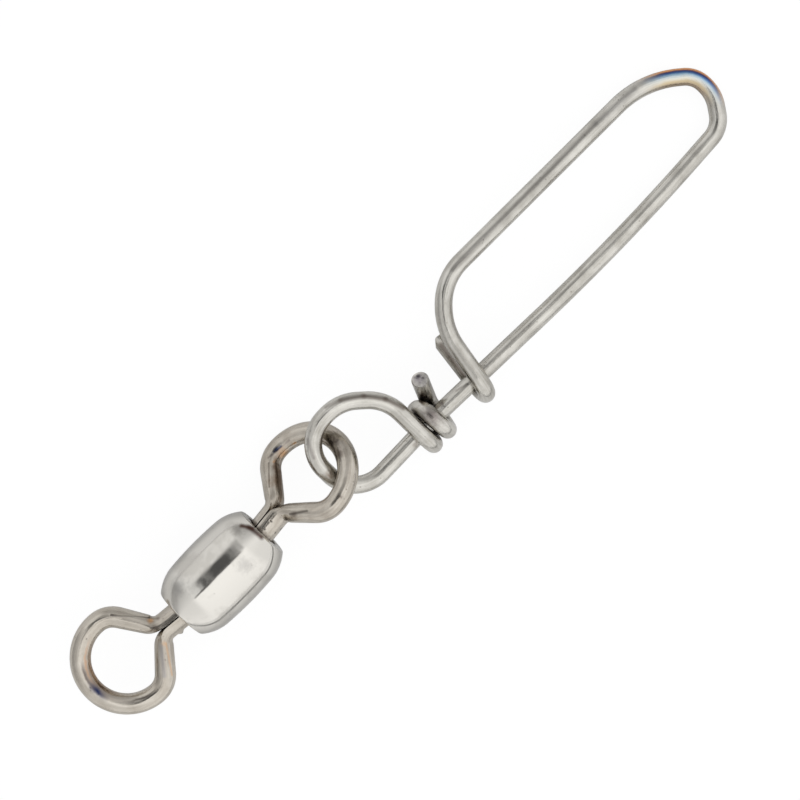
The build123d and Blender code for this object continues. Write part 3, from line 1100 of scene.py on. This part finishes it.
platingLook = {
    "bright": (0.775, 0.75, 0.70),
    "dull": (0.60, 0.575, 0.53),
    "dirtAndShade": (0.09, 0.06, 0.045),
    "dirtAndShadeSpread": 0.55,
    "raggedness": 0.5,
    "fleckSize": 0.4,
    "fleckCover": 0.22,
    "fleckTint": 0.3,
    "cloudTint": 0.55,
    "cloudGrain": (0.42, 3.0, 0.55),
    "cloudRange": (0.48, 0.62),
    "swellGrain": (0.8, 2.0),
    "roughness": (0.08, 0.18),
    "stainRoughness": 0.35,
    "flankShade": (1.75, 0.8),  # heights of the painted shade: bright above the first, dull below the second
    "flankShadeTone": 0.66,
    "fleckHeight": 0.10,
    "grooveHeight": -0.1,
    "bumpStrength": 0.5,
    "bumpDistance": 0.017,
    "spots": [
        # the spots are painted reflections: soft grey patches on the plating
        ((10.79, -1.30), 0.95, (0.47, 0.455, 0.43), 0.55),
        ((12.10, 0.80), 0.85, (0.36, 0.34, 0.31), 0.65),
        ((6.42, 1.00), 1.05, (0.42, 0.41, 0.39), 0.6),
        ((7.1, 0.1), 0.8, (0.52, 0.51, 0.48), 0.5),
    ],
    "strokes": [
        # the strokes are painted shade: a dark crescent at the hole in the right end
        ((12.46, 0.75), (12.86, 0.10), 0.30, (0.10, 0.05, 0.035), 0.95, 0.2),
        ((12.74, 0.30), (12.88, -0.75), 0.36, (0.08, 0.04, 0.03), 0.95, 0.2),
    ],
}


def platingMaterial(name, piece, look):
    tree, surface, place, dirtAndShade, flecks = startSurface(name, piece, look)
    cloud = softRange(tree, noise(tree, place, *look["cloudGrain"]), *look["cloudRange"])
    colour = tinted(tree, look["bright"], look["dull"], cloud, look["cloudTint"])
    colour = tinted(tree, colour, look["dirtAndShade"], flecks["Mask"], look["fleckTint"])
    # painted shade: the flanks are darker low down, and the crown stays bright
    flankShade = softRange(tree, separated(tree, place)["Z"], *look["flankShade"])
    colour = mixColour(tree, flankShade, colour, (look["flankShadeTone"],) * 3, "MULTIPLY")
    colour, grooves = markedColour(tree, piece, place, colour, look)
    swell = noise(tree, place, *look["swellGrain"])
    finishSurface(tree, surface, look, colour, cloud, swell, (dirtAndShade, flecks, grooves))


platingMaterial("barrelPlating", barrel, platingLook)
print("plating made")

for piece, node, slot in (
    (barrel, "barrel", "barrel_plating"),
    (lineEye, "line_eye", "eye_wire"),
    (linkEye, "link_eye", "eye_wire"),
    (snap, "snap", "snap_wire"),
):
    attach(piece, node)
    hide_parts(node)


# Studio: a pale floor, a light tent and the dark of the camera in it

# a tent's stops run from one horizon (0) over the top (0.5) to the other (1)
studio = {
    "floorSize": 1.2,
    "floorShown": 0.93,
    "floorSpread": 0.10,
    "paper": [(0.00, 1.00), (0.27, 1.00), (0.31, 0.22), (0.48, 0.30), (0.56, 0.90), (1.00, 0.88)],
    "paperReach": (-0.035, 0.0),
    "tents": [
        {
            "reach": None,
            "stops": [
                (0.000, 1.02), (0.350, 1.12), (0.508, 1.14), (0.535, 0.86), (0.750, 0.88), (0.960, 0.82),
                (0.990, 0.62),
            ],
        },
        {
            "reach": (-0.20, -0.55),
            "stops": [
                (0.0, 1.02), (0.13, 0.95), (0.31, 0.88), (0.50, 0.84), (0.60, 0.74), (0.67, 0.66),
                (0.80, 0.50), (1.0, 0.42),
            ],
        },
        {
            "reach": (0.18, 0.52),
            "stops": [
                (0.0, 0.88), (0.30, 0.90), (0.48, 0.98), (0.54, 0.90), (0.66, 0.62), (0.80, 0.54),
                (1.0, 0.56),
            ],
        },
    ],
    "shades": [
        {"tone": 0.50, "at": (0.17, 0.38), "half": (0.15, 0.28), "blur": (0.42, 0.42)},
        {"tone": 0.09, "at": (-0.090, 0.31), "half": (0.130, 0.27), "blur": (0.24, 0.34)},
        {"tone": 0.12, "at": (-0.10, 0.065), "half": (0.20, 0.04), "blur": (0.4, 0.5)},
    ],
}


def makeWorld(look):
    world = bpy.data.worlds.new("tent")
    bpy.context.scene.world = world
    tree = emptyTree(world)
    parts = separated(tree, addNode(tree, "ShaderNodeTexCoord").outputs["Generated"])
    angle = mathNode(tree, "ARCTAN2", parts["Y"], parts["Z"])
    share = mathNode(tree, "MULTIPLY_ADD", angle, 1 / math.pi, 0.5)
    top = max(tone for position, tone in look["tents"][0]["stops"])
    light = None
    for tent in look["tents"]:
        grey = greyRamp(tree, share, tent["stops"], top)
        light = mixColour(tree, softRange(tree, parts["X"], *tent["reach"]), light, grey) if light else grey
    above = mathNode(tree, "GREATER_THAN", parts["Z"], 0.0)
    for dark in look["shades"]:
        mask = above
        for axis, centre, half, blur in zip("XY", dark["at"], dark["half"], dark["blur"]):
            away = mathNode(tree, "ABSOLUTE", mathNode(tree, "SUBTRACT", parts[axis], centre))
            soft = softRange(tree, away, half * (1 + blur), half * (1 - blur))
            mask = mathNode(tree, "MULTIPLY", mask, soft)
        light = mixColour(tree, mask, light, (dark["tone"] / top,) * 3)
    seen = addNode(tree, "ShaderNodeLightPath").outputs["Is Camera Ray"]
    tent = addNode(tree, "ShaderNodeBackground", {"Color": light, "Strength": top})
    plain = addNode(tree, "ShaderNodeBackground", {"Color": (1, 1, 1), "Strength": 1.0})
    both = addNode(tree, "ShaderNodeMixShader", {0: seen, 1: tent.outputs[0], 2: plain.outputs[0]})
    addNode(tree, "ShaderNodeOutputWorld", {0: both.outputs[0]})


def makeFloor(look, low):
    half = look["floorSize"] / 2
    corners = [(-half, -half, low), (half, -half, low), (half, half, low), (-half, half, low)]
    mesh = bpy.data.meshes.new("floor")
    mesh.from_pydata(corners, [], [(0, 1, 2, 3)])
    floor = addObject("floor", mesh)
    material = bpy.data.materials.new("floorPaper")
    tree = emptyTree(material)
    # the camera sees an almost even white; reflections see grey paper, a dark strip and a white card
    geometry = addNode(tree, "ShaderNodeNewGeometry").outputs
    across = ranged(tree, separated(tree, geometry["Position"])["Y"], *look["paperReach"])
    paper = greyRamp(tree, across, look["paper"])
    mirrored = addNode(tree, "ShaderNodeBsdfDiffuse", {"Color": paper}).outputs[0]
    faint = addNode(tree, "ShaderNodeBsdfDiffuse", {"Color": (look["floorSpread"],) * 3}).outputs[0]
    even = addNode(tree, "ShaderNodeEmission", {"Strength": look["floorShown"]}).outputs[0]
    shown = addNode(tree, "ShaderNodeAddShader", {0: faint, 1: even}).outputs[0]
    seen = addNode(tree, "ShaderNodeLightPath").outputs["Is Camera Ray"]
    lit = addNode(tree, "ShaderNodeMixShader", {0: seen, 1: mirrored, 2: shown}).outputs[0]
    clear = addNode(tree, "ShaderNodeBsdfTransparent").outputs[0]
    both = addNode(tree, "ShaderNodeMixShader", {0: geometry["Backfacing"], 1: lit, 2: clear})
    addNode(tree, "ShaderNodeOutputMaterial", {0: both.outputs[0]})
    mesh.materials.append(material)


makeWorld(studio)
makeFloor(studio, cadBounds[0].z)
bpy.context.scene.view_settings.view_transform = "Standard"
print("studio made")


# Camera: almost straight above, with the part running from lower left to upper right.
# The aim, the distance and the width of the frame are in millimetres, the angles in degrees.

cameraLook = {
    "aim": (26.302, -0.943, 0.0),
    "tilt": (2.158, 0.232),
    "roll": 45.393,
    "distance": 230.4,
    "frameWidth": 55.758,
}


def makeCamera(look):
    data = bpy.data.cameras.new("camera")
    camera = addObject("camera", data)
    leanX, leanY = (math.tan(math.radians(angle)) for angle in look["tilt"])
    back = Vector((leanX, leanY, 1)).normalized()
    roll = math.radians(look["roll"])
    right = Vector((math.cos(roll), -math.sin(roll), 0))
    right = (right - back * right.dot(back)).normalized()
    turned = Matrix((right, back.cross(right), back)).transposed().to_4x4()
    camera.matrix_world = Matrix.Translation((Vector(look["aim"]) + back * look["distance"]) * mm) @ turned
    data.lens = data.sensor_width * look["distance"] / look["frameWidth"]
    data.clip_start, data.clip_end = 0.01, 10
    bpy.context.scene.camera = camera


makeCamera(cameraLook)
print("camera made")
